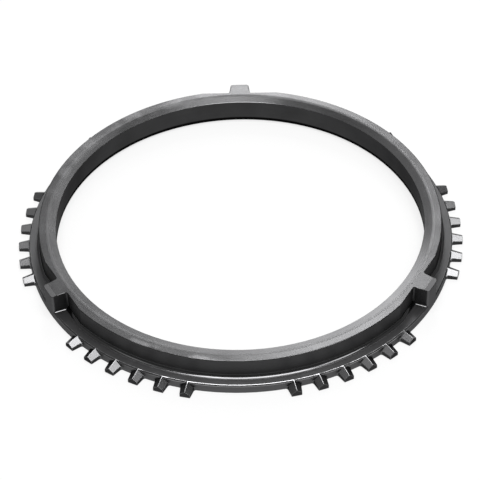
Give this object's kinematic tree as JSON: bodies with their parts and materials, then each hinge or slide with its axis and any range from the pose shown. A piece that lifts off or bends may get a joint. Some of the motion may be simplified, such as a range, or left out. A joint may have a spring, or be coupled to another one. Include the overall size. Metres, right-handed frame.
{
  "type": "synchronizer ring",
  "caption": "Outer synchronizer ring of a heavy gearbox: conical friction bore, index lugs, and pointed blocking teeth in groups round a flange.",
  "frame": {"origin": "on the ring's axis, in the plane of the face towards the gear, on which the ring rests", "axes": "+Z along the ring's axis towards the hub face, +Y through the middle of one index lug"},
  "size_m": [0.1942, 0.19, 0.0132],
  "materials": {
    "ring_steel": "dark satin phosphated steel, with fine turning marks"
  },
  "bodies": {
    "root": {"synchronizer_ring": "ring_steel"}
  },
  "joints": []
}
